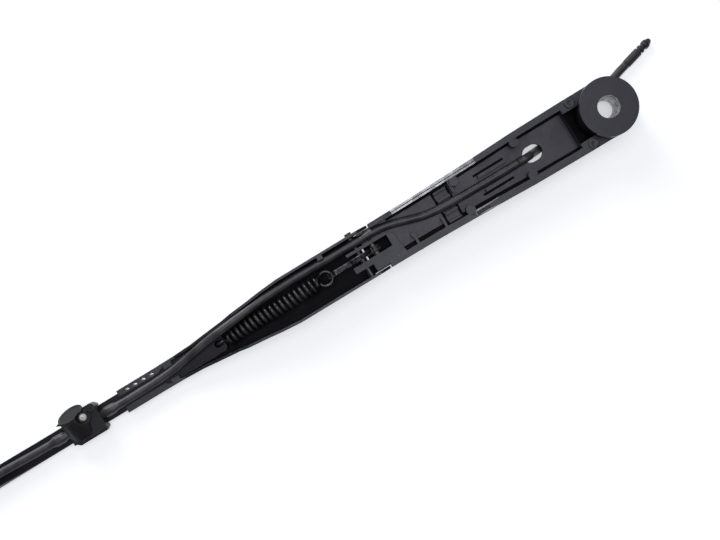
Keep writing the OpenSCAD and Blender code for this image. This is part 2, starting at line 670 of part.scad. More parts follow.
module on_axis() translate([anchor_x, 0, anchor_z]) rotate([0, axis_tilt, 0]) children();
module spring() color([0.2, 0.2, 0.21]) on_axis() tube(spring_path, wire_r, 8);

// Link: an eye on the anchor pin, an arch over the pivot pin, an eye for the spring
eye_r = anchor_r + link_w * 0.75;
swept_a = 16.5;
pin_far = norm([anchor_back, anchor_up]);
arch_c = pin_far * [cos(swept_a), sin(swept_a)];
arch_r = pin_r + 0.45 + link_w / 2;
link_end = loop_x - coil_r;
link_path = concat([[0, anchor_r / 2]],
    [for (a = [150 : -15 : 30]) arch_c + arch_r * [cos(a), sin(a)]],
    [[pin_far + 2 * pin_r, 0], [link_end, 0]]);
function off_line(p, i) = let (t = unit(p[min(i + 1, len(p) - 1)] - p[max(i - 1, 0)])) [-t[1], t[0]];
module ribbon(p, w) {
    polygon(concat([for (i = [0 : len(p) - 1]) p[i] + w / 2 * off_line(p, i)],
        [for (i = [len(p) - 1 : -1 : 0]) p[i] - w / 2 * off_line(p, i)]));
}
module link_ring(x, r) {
    translate([x, 0, 0]) rotate([90, 0, 0]) cylinder(r = r, h = link_t, center = true);
}
module link_hole(x, r) {
    translate([x, 0, 0]) rotate([90, 0, 0]) cylinder(r = r, h = link_t + 2 * over, center = true);
}
module spring_link() color([0.45, 0.45, 0.47]) on_axis() difference() {
    union() {
        link_ring(0, eye_r);
        across(-0.46 * link_t, 0.46 * link_t) ribbon(link_path, link_w);
        link_ring(link_end, wire_r + 0.45 + 0.4 * link_w);
    }
    link_hole(0, anchor_r + pin_gap);
    link_hole(link_end, wire_r + 0.45);
}

// Clip-on washer jet: a saddle over the rod and hose, a drum with a cap, a ball in a ring
jet_top = rod_top + 2 * hose_r + 2 * hose_gap + sheet_t;
jet_side = rod_half + hose_gap / 2;
skirt_t = 1.6;
ring_wall = 1;
ball_x = 0.39 * jet_len;
ball_y = -1.8 * ball_r;
ball_z = jet_top + 0.7 * ball_r;
collar_r = 1.85 * ball_r;
drum_len = 1.15 * cap_r;
cap_t = 0.2 * cap_r;
cap_at = [0.66 * jet_len, -0.8 * jet_side, jet_top - 0.1 * cap_r];
cap_lean = 63;
module on_rod(i) {
    s = (jet_x + jet_step + jet_len / 2 - bend_x) / (hook_x - bend_x);
    slope = atan(rod_rise * (3 * s - 1.5 * s * s) / (hook_x - bend_x));
    mid_z = rod_z + rod_t / 2;
    if (i == 0) translate([jet_x, 0, 0]) children();
    else translate([jet_x + jet_step + jet_len / 2, 0, mid_z + rise(s)]) rotate([0, -slope, 0])
        rotate([rod_twist, 0, 0]) translate([-jet_len / 2, 0, -mid_z]) children();
}
module jet_plan() {
    polygon([[0, jet_side], [jet_len, jet_side], [jet_len, -jet_side],
        [1.18 * jet_len, -jet_side - skirt_t], [0.95 * jet_len, -jet_side - 2 * skirt_t],
        [0.2 * jet_len, -jet_side - 2 * skirt_t], [0, -jet_side - skirt_t]]);
}
module on_cap() translate(cap_at) rotate([cap_lean, 0, 0]) children();
module jet_body() difference() {
    union() {
        difference() {
            between(rod_top + hose_gap / 2, jet_top) jet_plan();
            on_cap() translate([0, 0, 0.4 * drum_len]) cylinder(r = cap_r + seat, h = cap_r);
        }
        // Skirts beside the rod with a foot block on one side
        between(rod_z + rod_t / 4, jet_top) {
            translate([0, jet_side]) square([jet_len, skirt_t]);
            translate([0, -jet_side - skirt_t]) square([jet_len, skirt_t]);
        }
        between(rod_z + rod_t / 4, rod_top + hose_r) polygon([[0, jet_side], [jet_len, jet_side],
            [jet_len, jet_side + skirt_t], [0.9 * jet_len, jet_side + 2 * skirt_t],
            [0.1 * jet_len, jet_side + 2 * skirt_t], [0, jet_side + skirt_t]]);
        // Collar round the ball, and the ear beside it
        translate([ball_x, ball_y, jet_top - over]) cylinder(r = collar_r, h = ball_z - jet_top + over);
        between(rod_top + hose_gap / 2, jet_top + skirt_t)
            translate([1.3 * skirt_t, -jet_side - skirt_t / 2]) circle(1.5 * skirt_t);
        // Drum that carries the cap
        intersection() {
            on_cap() translate([0, 0, -drum_len]) cylinder(r = cap_r, h = 1.4 * drum_len);
            between(rod_top + hose_gap / 2, jet_top + 2 * cap_r) strip(-over, 2 * jet_len, 3 * cap_r);
        }
    }
    // Tunnel for the hose
    translate([-over, 0, rod_top + hose_r]) rotate([0, 90, 0])
        cylinder(r = hose_r + hose_gap, h = 2 * jet_len);
    between(rod_z - over, rod_top + hose_gap / 2) strip(-over, 2 * jet_len, jet_side);
    between(rod_top, rod_top + hose_r) strip(-over, 2 * jet_len, hose_r + hose_gap);
    // Socket for the ball and its mouth in the drum's side
    translate([ball_x, ball_y, ball_z]) sphere(r = ball_r + hose_gap / 2);
    translate([ball_x, ball_y, ball_z]) cylinder(r = ball_r + ring_wall + seat, h = 2 * cap_r);
}
module jet_cap() difference() {
    on_cap() translate([0, 0, 0.4 * drum_len + seat]) difference() {
        cylinder(r = cap_r, h = cap_t);
        translate([0, 0, 0.8 * cap_t]) cylinder(r = 0.86 * cap_r, h = cap_t);
    }
    // Room for the collar and the ring
    translate([ball_x, ball_y, -2 * cap_r]) cylinder(r = collar_r + seat, h = 2 * cap_r + ball_z + seat);
    translate([ball_x, ball_y, 0]) cylinder(r = ball_r + ring_wall + 2 * seat, h = 3 * cap_r);
}
module jet_ring() translate([ball_x, ball_y, ball_z + seat]) difference() {
    cylinder(r = ball_r + ring_wall, h = 0.4 * ball_r);
    translate([0, 0, -over]) cylinder(r = ball_r + seat, h = ball_r);
}
module jet_ball() translate([ball_x, ball_y, ball_z]) difference() {
    sphere(r = ball_r);
    cylinder(r = 0.18 * ball_r, h = 2 * ball_r);
}
module jet_body_1() color([0.11, 0.11, 0.12]) on_rod(0) jet_body();
module jet_cap_1() color([0.13, 0.13, 0.14]) on_rod(0) jet_cap();
module jet_ring_1() color([0.13, 0.13, 0.14]) on_rod(0) jet_ring();
module jet_ball_1() color([0.75, 0.75, 0.72]) on_rod(0) jet_ball();
module jet_body_2() color([0.11, 0.11, 0.12]) on_rod(1) jet_body();
module jet_cap_2() color([0.13, 0.13, 0.14]) on_rod(1) jet_cap();
module jet_ring_2() color([0.13, 0.13, 0.14]) on_rod(1) jet_ring();
module jet_ball_2() color([0.75, 0.75, 0.72]) on_rod(1) jet_ball();

head_casting();
bush_thin_ear();
bush_thick_ear();
anchor_pin();
hose_clip();
hose_head();
hose_tail();
hose_sleeve();
hose_connector();
channel();
rod();
pivot_pin();
spring_link();
spring();
hose_arm();
jet_body_1();
jet_cap_1();
jet_ring_1();
jet_ball_1();
jet_body_2();
jet_cap_2();
jet_ring_2();
jet_ball_2();
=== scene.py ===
# %% [markdown]
# # A windscreen wiper arm, lying on its back
# The arm is a cast head, a folded channel, a flat rod, a spring, a link, a washer hose and two
# clip-on jets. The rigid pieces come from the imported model, which holds their true sizes. This
# lesson rounds their edges, makes the hose, its end and the spring anew and gives everything its
# finish. Lengths are in metres, and lists of points in millimetres are scaled by MM.

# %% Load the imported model
import bpy, bmesh, json, math
from mathutils import Vector, Matrix
from mathutils.bvhtree import BVHTree

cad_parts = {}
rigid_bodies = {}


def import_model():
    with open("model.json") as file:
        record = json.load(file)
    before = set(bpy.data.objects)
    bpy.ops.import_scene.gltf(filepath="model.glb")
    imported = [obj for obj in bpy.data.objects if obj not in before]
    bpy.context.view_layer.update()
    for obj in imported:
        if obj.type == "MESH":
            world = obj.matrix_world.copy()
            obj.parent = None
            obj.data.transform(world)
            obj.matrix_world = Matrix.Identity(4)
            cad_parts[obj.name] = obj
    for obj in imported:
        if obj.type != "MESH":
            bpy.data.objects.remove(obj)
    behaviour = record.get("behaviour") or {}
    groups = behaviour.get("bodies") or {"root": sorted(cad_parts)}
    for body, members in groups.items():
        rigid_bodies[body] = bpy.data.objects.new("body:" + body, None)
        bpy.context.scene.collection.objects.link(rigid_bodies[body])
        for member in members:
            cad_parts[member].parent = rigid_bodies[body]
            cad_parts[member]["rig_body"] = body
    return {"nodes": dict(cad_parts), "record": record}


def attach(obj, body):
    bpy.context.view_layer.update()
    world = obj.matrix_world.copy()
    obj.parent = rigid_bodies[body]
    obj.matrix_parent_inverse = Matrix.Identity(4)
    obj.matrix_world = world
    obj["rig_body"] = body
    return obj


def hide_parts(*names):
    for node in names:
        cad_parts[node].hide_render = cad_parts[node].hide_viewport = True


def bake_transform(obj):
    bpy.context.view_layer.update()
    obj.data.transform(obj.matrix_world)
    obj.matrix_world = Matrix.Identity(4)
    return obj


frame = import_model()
nodes = frame["nodes"]
slot_of = {row["node"]: row["material_slot"] for row in frame["record"]["subparts"]}
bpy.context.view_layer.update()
MM = 0.001
scene = bpy.context.scene

# %% [markdown]
# ## The camera
# The photograph looks straight down on the arm, which crosses the picture at 31.25 degrees. The
# camera therefore hangs over the arm and only turns about its own line of sight.

# %% Camera over the arm
TURN = math.radians(31.25)
CAMERA_X, CAMERA_Y, CAMERA_HEIGHT = 0.1563, 0.0056, 0.590
FOCAL_MM, SENSOR_MM = 54.86, 36
across_picture = Vector((-math.cos(TURN), math.sin(TURN), 0))
up_picture = Vector((-math.sin(TURN), -math.cos(TURN), 0))
camera = bpy.data.objects.new("camera", bpy.data.cameras.new("camera"))
camera.data.lens, camera.data.sensor_width = FOCAL_MM, SENSOR_MM
camera.data.clip_start = 0.01
camera.matrix_world = Matrix((
    (across_picture.x, up_picture.x, 0, CAMERA_X),
    (across_picture.y, up_picture.y, 0, CAMERA_Y),
    (0, 0, 1, CAMERA_HEIGHT),
    (0, 0, 0, 1)))
scene.collection.objects.link(camera)
scene.camera = camera
print("camera height", camera.location.z)

# %% [markdown]
# ## A tube along a route
# Hose, wire and sleeve are all tubes. The route is a few given points. A smooth curve
# goes through them, and a ring of points is carried along it without twist, so that the tube
# never pinches. A map named along counts metres along the tube and parts of a turn round it.

# %% Helpers for smooth routes and tubes
def smooth_route(points, steps):
    """A Catmull-Rom curve through the points, with several steps between two of them."""
    p = [Vector(q) for q in points]
    p = [2 * p[0] - p[1]] + p + [2 * p[-1] - p[-2]]
    route = []
    for i in range(1, len(p) - 2):
        a, b, c, d = p[i - 1], p[i], p[i + 1], p[i + 2]
        for k in range(steps):
            t = k / steps
            route.append(0.5 * (2 * b + (c - a) * t + (2 * a - 5 * b + 4 * c - d) * t ** 2
                                + (3 * b - a - 3 * c + d) * t ** 3))
    return route + [p[-2]]


def frames_along(route):
    """The direction of the route and a side vector, first up, carried along it without twist."""
    side, out = Vector((0, 0, 1)), []
    for i, here in enumerate(route):
        ahead = route[min(i + 1, len(route) - 1)] - route[max(i - 1, 0)]
        ahead.normalize()
        side = (side - side.dot(ahead) * ahead).normalized()
        out.append((here, ahead, side))
    return out


def tube(name, route, radius, sides):
    """A closed tube. radius is a length, or a function of the place and the metres gone."""
    bm = bmesh.new()
    uv = bm.loops.layers.uv.new("along")
    rings, gone, last = [], 0.0, route[0]
    for here, ahead, side in frames_along(route):
        gone += (here - last).length
        last = here
        r = radius(here, gone) if callable(radius) else radius
        other = ahead.cross(side)
        ring = [bm.verts.new(here + r * (math.cos(a) * side + math.sin(a) * other))
                for a in (2 * math.pi * k / sides for k in range(sides))]
        rings.append((ring, gone))
    for (ring_a, s_a), (ring_b, s_b) in zip(rings, rings[1:]):
        for k in range(sides):
            j = (k + 1) % sides
            face = bm.faces.new((ring_a[k], ring_a[j], ring_b[j], ring_b[k]))
            for loop, place in zip(face.loops, ((s_a, k), (s_a, k + 1), (s_b, k + 1), (s_b, k))):
                loop[uv].uv = (place[0], place[1] / sides)
    bm.faces.new(list(reversed(rings[0][0])))
    bm.faces.new(rings[-1][0])
    bmesh.ops.recalc_face_normals(bm, faces=bm.faces)
    mesh = bpy.data.meshes.new(name)
    bm.to_mesh(mesh)
    bm.free()
    mesh.shade_smooth()
    piece = bpy.data.objects.new(name, mesh)
    scene.collection.objects.link(piece)
    return piece


def length_of(route):
    """The length of a route, in metres."""
    return sum((b - a).length for a, b in zip(route, route[1:]))


def in_metres(points):
    """Points given in millimetres, as vectors in metres."""
    return [Vector(p) * MM for p in points]

# %% [markdown]
# ## The loose end of the washer hose
# Past the slot in the head the hose is free. It dips through the slot, runs under the casting,
# leaves through a notch in the tray wall and ends in a sleeve with a push-in connector. Sleeve
# and connector are turned shapes, each given as a list of radii and heights.

# %% The tail of the hose, with its sleeve and connector
HOSE_R = 2.25 * MM
tail_points = in_metres([
    (54, 0.5, 2.8), (51.5, 0.5, 2.8), (49.2, 0.5, 2.85), (46.9, 0.4, 1.8), (45.2, 0.2, -0.8),
    (43, 0.1, -3.8), (40, -0.1, -6.2), (36, -0.5, -7.3), (28, -2, -7.5), (21, -4.6, -7.5),
    (14, -7.2, -7.5), (7, -9, -7.5), (0, -9.8, -7.5), (-7, -10.2, -7.5), (-13, -11.2, -7.5),
    (-20, -13.4, -7.5), (-25.8, -15, -7.5)])
hose_tail = tube("hose_tail_tube", smooth_route(tail_points, 6), HOSE_R, sides=20)
tail_end = tail_points[-1]
tail_way = (tail_points[-1] - tail_points[-2]).normalized()
tail_side = Vector((0, 0, 1))
tail_frame = Matrix((tail_side.cross(tail_way), tail_side, tail_way)).transposed().to_4x4()
tail_frame.translation = tail_end


def turned(name, profile, frame_matrix, sides=28):
    """A body of revolution about its own Z, from (radius, height) pairs in metres."""
    bm = bmesh.new()
    rings = []
    for r, z in profile:
        if r == 0:
            rings.append([bm.verts.new((0, 0, z))])
            continue
        rings.append([bm.verts.new((r * math.cos(a), r * math.sin(a), z))
                      for a in (2 * math.pi * k / sides for k in range(sides))])
    for low, high in zip(rings, rings[1:]):
        for k in range(sides):
            j = (k + 1) % sides
            if len(low) == 1:
                bm.faces.new((low[0], high[j], high[k]))
            elif len(high) == 1:
                bm.faces.new((low[k], low[j], high[0]))
            else:
                bm.faces.new((low[k], low[j], high[j], high[k]))
    bmesh.ops.recalc_face_normals(bm, faces=bm.faces)
    bm.transform(frame_matrix)
    mesh = bpy.data.meshes.new(name)
    bm.to_mesh(mesh)
    bm.free()
    mesh.shade_smooth()
    mesh.set_sharp_from_angle(angle=math.radians(40))
    piece = bpy.data.objects.new(name, mesh)
    scene.collection.objects.link(piece)
    return piece


END_MM, SLEEVE_SHARE, PLUG_SHARE = 18.4, 0.52, 0.48
RIDGE_RINGS = 9
sleeve_len, plug_len = SLEEVE_SHARE * END_MM * MM, PLUG_SHARE * END_MM * MM
ridges = [(HOSE_R * (1.1 - 0.03 * (i % 2)), 0.5 * MM + (sleeve_len - 1 * MM) * i / (RIDGE_RINGS - 1))
          for i in range(RIDGE_RINGS)]
sleeve = turned("sleeve", [(0, 0), (0.98 * HOSE_R, 0), (1.08 * HOSE_R, 0.3 * MM)] + ridges + [
    (1.06 * HOSE_R, sleeve_len - 0.2 * MM), (0.9 * HOSE_R, sleeve_len), (0, sleeve_len)],
    tail_frame)
# Radii as parts of the hose's, heights as parts of the connector's length.
plug_shape = [(0, 0), (0.8, 0), (0.8, 0.12), (1.0, 0.13), (1.06, 0.16), (1.06, 0.22), (1.0, 0.25),
              (0.8, 0.26), (0.8, 0.42), (1.02, 0.45), (1.09, 0.49), (1.09, 0.69), (1.02, 0.73),
              (0.86, 0.78), (0.62, 0.95), (0.45, 1), (0, 1)]
connector = turned("connector", [(r * HOSE_R, sleeve_len + z * plug_len) for r, z in plug_shape],
                   tail_frame)
for piece, node in ((hose_tail, "hose_tail"), (sleeve, "hose_sleeve"),
                    (connector, "hose_connector")):
    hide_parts(node)
    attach(piece, "head")

# %% [markdown]
# ## Shared effects
# Paint, rubber and plastic share five effects: slow clouds of tone, a fine grain that catches the
# light, rubbed edges that also carry a painted highlight, dust that settles on what faces up, and a
# shade that deepens with depth on inner faces. Each is a node group with named sockets, and each
# finish places it with its own values. The depth shade is painted darkness. It stands for shadow
# that this light doesn't cast.

# %% Node groups for clouds, grain, rubbed edges with a painted highlight, dust and depth shade
# Cells to the metre in the noises whose scale isn't a socket.
CLOUD_SPECKS, GRAIN_WAVES, WEAR_HIGHLIGHT_PATCHES = 900.0, 260.0, 320.0
DUST_SPECKS, DUST_DRIFTS = 1500.0, 90.0


def group(name, inputs, outputs, kind="ShaderNodeTree"):
    """A node tree with named sockets, and its nodes for input and output."""
    tree = bpy.data.node_groups.new(name, kind)
    for label, socket_kind, value in inputs:
        socket = tree.interface.new_socket(name=label, in_out="INPUT", socket_type=socket_kind)
        if value is not None:
            socket.default_value = value
    for label, socket_kind in outputs:
        tree.interface.new_socket(name=label, in_out="OUTPUT", socket_type=socket_kind)
    return tree, tree.nodes.new("NodeGroupInput"), tree.nodes.new("NodeGroupOutput")


def node_in(tree, kind, **settings):
    """A new node with these settings."""
    made = tree.nodes.new(kind)
    for key, value in settings.items():
        setattr(made, key, value)
    return made


def mixed(tree, factor, a, b):
    """A colour mix. factor, a and b are sockets or plain values."""
    mix = node_in(tree, "ShaderNodeMix", data_type="RGBA")
    for place, value in ((0, factor), (6, a), (7, b)):
        if isinstance(value, bpy.types.NodeSocket):
            tree.links.new(value, mix.inputs[place])
        else:
            mix.inputs[place].default_value = value
    return mix.outputs[2]


def product(tree, a, b):
    """One value times another."""
    times = node_in(tree, "ShaderNodeMath", operation="MULTIPLY")
    tree.links.new(a, times.inputs[0])
    tree.links.new(b, times.inputs[1])
    return times.outputs[0]


def scaled_sum(tree, a, factor, b):
    """One value times a plain factor, plus another."""
    added = node_in(tree, "ShaderNodeMath", operation="MULTIPLY_ADD")
    tree.links.new(a, added.inputs[0])
    added.inputs[1].default_value = factor
    tree.links.new(b, added.inputs[2])
    return added.outputs[0]


def spread(tree, value, low, high, to_low=0.0, to_high=1.0):
    """A smooth remap of one value from low..high to to_low..to_high."""
    remap = node_in(tree, "ShaderNodeMapRange", interpolation_type="SMOOTHSTEP")
    tree.links.new(value, remap.inputs[0])
    for place, number in ((1, low), (2, high), (3, to_low), (4, to_high)):
        if isinstance(number, bpy.types.NodeSocket):
            tree.links.new(number, remap.inputs[place])
        else:
            remap.inputs[place].default_value = number
    return remap.outputs[0]


def noise(tree, vector, scale, detail=3.0, rough=0.55):
    """Noise with so many cells to the metre."""
    made = tree.nodes.new("ShaderNodeTexNoise")
    tree.links.new(vector, made.inputs["Vector"])
    if isinstance(scale, bpy.types.NodeSocket):
        tree.links.new(scale, made.inputs["Scale"])
    else:
        made.inputs["Scale"].default_value = scale
    made.inputs["Detail"].default_value = detail
    made.inputs["Roughness"].default_value = rough
    return made.outputs[0]


clouds, g_in, g_out = group("clouds_of_tone", [
    ("Place", "NodeSocketVector", None), ("Dark", "NodeSocketColor", (0, 0, 0, 1)),
    ("Light", "NodeSocketColor", (1, 1, 1, 1)), ("Per Metre", "NodeSocketFloat", 60.0),
    ("Smooth", "NodeSocketFloat", 0.3), ("Rough", "NodeSocketFloat", 0.5)],
    [("Colour", "NodeSocketColor"), ("Roughness", "NodeSocketFloat")])
slow = noise(clouds, g_in.outputs["Place"], g_in.outputs["Per Metre"], 4.0, 0.6)
clouds.links.new(mixed(clouds, spread(clouds, slow, 0.35, 0.65), g_in.outputs["Dark"],
                       g_in.outputs["Light"]), g_out.inputs["Colour"])
both = scaled_sum(clouds, noise(clouds, g_in.outputs["Place"], CLOUD_SPECKS, 3.0), 0.45, slow)
clouds.links.new(spread(clouds, both, 0.5, 0.95, g_in.outputs["Smooth"],
                        g_in.outputs["Rough"]), g_out.inputs["Roughness"])

grain, g_in, g_out = group("fine_grain", [
    ("Place", "NodeSocketVector", None), ("Per Metre", "NodeSocketFloat", 2500.0)],
    [("Height", "NodeSocketFloat")])
peel = noise(grain, g_in.outputs["Place"], g_in.outputs["Per Metre"], 2.0)
waves = noise(grain, g_in.outputs["Place"], GRAIN_WAVES, 2.0)
grain.links.new(scaled_sum(grain, waves, 1.6, peel), g_out.inputs["Height"])

# Rubbed paint and painted highlight together: the mask lightens rounded edges both for wear and for
# the light those edges catch.
wear_and_highlight, g_in, g_out = group("edge_wear_and_highlight", [
    ("Place", "NodeSocketVector", None), ("Edge", "NodeSocketFloat", 0.0),
    ("Amount", "NodeSocketFloat", 0.5)], [("Mask", "NodeSocketFloat")])
patches = spread(wear_and_highlight, noise(wear_and_highlight, g_in.outputs["Place"], WEAR_HIGHLIGHT_PATCHES, 4.0, 0.7),
                 0.42, 0.62)
on_edge = product(wear_and_highlight, patches, g_in.outputs["Edge"])
wear_and_highlight.links.new(product(wear_and_highlight, on_edge, g_in.outputs["Amount"]), g_out.inputs["Mask"])

dust, g_in, g_out = group("settled_dust", [
    ("Place", "NodeSocketVector", None), ("Normal", "NodeSocketVector", None),
    ("Amount", "NodeSocketFloat", 0.3)], [("Mask", "NodeSocketFloat")])
parts = node_in(dust, "ShaderNodeSeparateXYZ")
dust.links.new(g_in.outputs["Normal"], parts.inputs[0])
facing_up = spread(dust, parts.outputs[2], 0.5, 1.0)
specks = spread(dust, noise(dust, g_in.outputs["Place"], DUST_SPECKS, 5.0, 0.75), 0.5, 0.75)
drifts = spread(dust, noise(dust, g_in.outputs["Place"], DUST_DRIFTS, 3.0), 0.35, 0.7)
mask = facing_up
for factor in (specks, drifts, g_in.outputs["Amount"]):
    mask = product(dust, mask, factor)
dust.links.new(mask, g_out.inputs["Mask"])

sunk, g_in, g_out = group("sunk_shade", [
    ("Place", "NodeSocketVector", None), ("Inside", "NodeSocketFloat", 1.0),
    ("Low", "NodeSocketFloat", -0.001), ("High", "NodeSocketFloat", 0.0)],
    [("Mask", "NodeSocketFloat")])
parts = node_in(sunk, "ShaderNodeSeparateXYZ")
sunk.links.new(g_in.outputs["Place"], parts.inputs[0])
depth = spread(sunk, parts.outputs[2], g_in.outputs["Low"], g_in.outputs["High"], 1.0, 0.0)
sunk.links.new(product(sunk, depth, g_in.outputs["Inside"]), g_out.inputs["Mask"])
print("groups", [g.name for g in bpy.data.node_groups])

# %% [markdown]
# ## The finishes
# Every finish is a Principled shader fed by the groups. Satin black paint is nearly black with a
# bluish sheen, the rubber is duller and a little warmer, and bare metal shows in the bore and on the
# pins. The rim's sloped edge and the crimp's dents carry painted highlights. The colours are linear
# values.

# %% One maker for all finishes
def rgb(r, g, b):
    return (r, g, b, 1.0)


# DEEP is the near-black of the painted depth shade, and GLOSS_LEFT_DEEP the share of gloss it
# leaves.
DUST, DEEP = rgb(0.13, 0.13, 0.13), rgb(0.0025, 0.0022, 0.003)
SHEEN_TINT, GLOSS_LEFT_DEEP = rgb(0.88, 0.87, 1.0), 0.1


def finish(name, dark, light, smooth, rough, grain_size=2500.0, grain_depth=0.02, wear_highlight=0.4,
           wear_highlight_colour=rgb(0.16, 0.16, 0.17), dusty=0.08, metallic=0.0, specular=0.5,
           cloud=60.0, sunk_from=None):
    """A finish between two colours and two roughnesses. grain_size and cloud count cells to the
    metre, and grain_depth is in millimetres. wear_highlight and dusty are amounts, and
    wear_highlight_colour lightens rounded edges as rubbed paint and as a painted highlight.
    sunk_from gives the heights between which the depth shade fades out."""
    material = bpy.data.materials.new(name)
    material.use_nodes = True
    tree = material.node_tree
    shader = tree.nodes["Principled BSDF"]
    spot = node_in(tree, "ShaderNodeTexCoord").outputs["Object"]
    surface = node_in(tree, "ShaderNodeGroup", node_tree=clouds)
    tree.links.new(spot, surface.inputs["Place"])
    surface.inputs["Dark"].default_value, surface.inputs["Light"].default_value = dark, light
    surface.inputs["Per Metre"].default_value = cloud
    surface.inputs["Smooth"].default_value, surface.inputs["Rough"].default_value = smooth, rough
    edge = node_in(tree, "ShaderNodeAttribute", attribute_name="edge")
    wear_highlight_node = node_in(tree, "ShaderNodeGroup", node_tree=wear_and_highlight)
    tree.links.new(spot, wear_highlight_node.inputs["Place"])
    tree.links.new(edge.outputs["Fac"], wear_highlight_node.inputs["Edge"])
    wear_highlight_node.inputs["Amount"].default_value = wear_highlight
    dust_group = node_in(tree, "ShaderNodeGroup", node_tree=dust)
    tree.links.new(spot, dust_group.inputs["Place"])
    tree.links.new(node_in(tree, "ShaderNodeNewGeometry").outputs["Normal"],
                   dust_group.inputs["Normal"])
    dust_group.inputs["Amount"].default_value = dusty
    # The edge mask lightens the colour on the rounded rims: rubbed paint and a painted highlight.
    colour = mixed(tree, wear_highlight_node.outputs["Mask"], surface.outputs["Colour"], wear_highlight_colour)
    colour = mixed(tree, dust_group.outputs["Mask"], colour, DUST)
    if sunk_from:
        low = node_in(tree, "ShaderNodeGroup", node_tree=sunk)
        tree.links.new(spot, low.inputs["Place"])
        tree.links.new(node_in(tree, "ShaderNodeAttribute", attribute_name="inside").outputs["Fac"],
                       low.inputs["Inside"])
        low.inputs["Low"].default_value, low.inputs["High"].default_value = sunk_from
        colour = mixed(tree, low.outputs["Mask"], colour, DEEP)
        tree.links.new(spread(tree, low.outputs["Mask"], 0.0, 1.0, specular,
                              GLOSS_LEFT_DEEP * specular), shader.inputs["Specular IOR Level"])
    else:
        shader.inputs["Specular IOR Level"].default_value = specular
    tree.links.new(colour, shader.inputs["Base Color"])
    tree.links.new(surface.outputs["Roughness"], shader.inputs["Roughness"])
    fine = node_in(tree, "ShaderNodeGroup", node_tree=grain)
    tree.links.new(spot, fine.inputs["Place"])
    fine.inputs["Per Metre"].default_value = grain_size
    bump = node_in(tree, "ShaderNodeBump")
    bump.inputs["Strength"].default_value = 1.0
    bump.inputs["Distance"].default_value = grain_depth * MM
    tree.links.new(fine.outputs["Height"], bump.inputs["Height"])
    tree.links.new(bump.outputs["Normal"], shader.inputs["Normal"])
    shader.inputs["Metallic"].default_value = metallic
    shader.inputs["Specular Tint"].default_value = SHEEN_TINT
    return material


FINISHES = {
    "black_casting": finish("satin_black_casting", rgb(0.008, 0.0077, 0.012),
                            rgb(0.0135, 0.013, 0.02), 0.3, 0.42, 2600, 0.03, 0.7,
                            sunk_from=(-1.1 * MM, 0.3 * MM)),
    "black_sheet": finish("satin_black_sheet", rgb(0.004, 0.0042, 0.0055),
                          rgb(0.0075, 0.0078, 0.0095), 0.26, 0.38, 3400, 0.012, 0.7,
                          sunk_from=(-5.2 * MM, -3.8 * MM)),
    "black_rod": finish("satin_black_rod", rgb(0.004, 0.0042, 0.005),
                        rgb(0.0075, 0.0078, 0.009), 0.26, 0.38, 3000, 0.012, 0.4,
                        specular=0.18),
    "bush": finish("dull_bush", rgb(0.06, 0.05, 0.03), rgb(0.12, 0.1, 0.06), 0.35, 0.55, 4000,
                   0.01, 0.5, rgb(0.3, 0.25, 0.15), metallic=0.8),
    "pin_steel": finish("dull_pin", rgb(0.06, 0.06, 0.065), rgb(0.14, 0.14, 0.145), 0.28, 0.5, 3500,
                        0.012, 0.6, rgb(0.4, 0.4, 0.41), metallic=0.8),
    "link_steel": finish("dark_oiled_link", rgb(0.004, 0.004, 0.005), rgb(0.05, 0.05, 0.052), 0.22,
                         0.38, 3000, 0.01, 0.8, rgb(0.25, 0.25, 0.26), metallic=0.35,
                         specular=0.25, cloud=260),
    "spring_steel": finish("dark_oiled_spring", rgb(0.02, 0.02, 0.022), rgb(0.05, 0.05, 0.053),
                           0.2, 0.34, 3600, 0.01, 0.3, metallic=0.5,
                           specular=1.0),
    "hose_rubber": finish("washer_hose_rubber", rgb(0.022, 0.021, 0.022),
                          rgb(0.05, 0.048, 0.05), 0.27, 0.4, 3800, 0.015, 0.1, dusty=0.1,
                          cloud=90),
    "sleeve_rubber": finish("sleeve_rubber", rgb(0.014, 0.014, 0.015), rgb(0.028, 0.028, 0.029),
                            0.45, 0.62, 3800, 0.02, 0.2, dusty=0.2),
    "connector_plastic": finish("connector_plastic", rgb(0.011, 0.011, 0.013),
                                rgb(0.02, 0.02, 0.022), 0.36, 0.52, 3000, 0.012, 0.4),
    "clip_plastic": finish("clip_plastic", rgb(0.008, 0.008, 0.01), rgb(0.016, 0.016, 0.018),
                           0.3, 0.45, 3000, 0.01, 0.5),
    "jet_plastic": finish("jet_plastic", rgb(0.008, 0.008, 0.0085), rgb(0.015, 0.015, 0.0155), 0.36,
                          0.52, 3200, 0.015, 0.6, specular=0.3),
    "cap_plastic": finish("cap_plastic", rgb(0.012, 0.012, 0.0125), rgb(0.022, 0.022, 0.0225), 0.5,
                          0.65, 3000, 0.02, 0.7, specular=0.15),
    "jet_ball": finish("pale_ball", rgb(0.55, 0.54, 0.52), rgb(0.8, 0.79, 0.76), 0.25, 0.4, 2500,
                       0.01, 0.2, rgb(0.7, 0.69, 0.66), 0.05),
}
bare_bore = finish("bare_bore", rgb(0.14, 0.14, 0.13), rgb(0.7, 0.7, 0.67), 0.3, 0.5, 1400, 0.05,
                   0.5, rgb(0.5, 0.5, 0.48), metallic=0.75, cloud=400)
# A painted highlight: this light metal colour on the rim's sloped edge and a small step stands for
# the light they catch.
highlight_strip = finish("painted_highlight_strip", rgb(0.09, 0.09, 0.1), rgb(0.26, 0.26, 0.28), 0.25, 0.4,
                    2600, 0.02, 0.5, rgb(0.35, 0.35, 0.37), 0.05, metallic=0.6, cloud=200)
# A painted highlight: the pale metal colour of the dents stands for the light they catch.
dent_highlight = finish("painted_dent_highlight", rgb(0.3, 0.3, 0.31), rgb(0.55, 0.55, 0.56), 0.12, 0.25,
                     3000, 0.005, 0.2, rgb(0.7, 0.7, 0.7), 0.02, metallic=0.7)
print("finishes", len(FINISHES), "and", bare_bore.name, highlight_strip.name, dent_highlight.name)
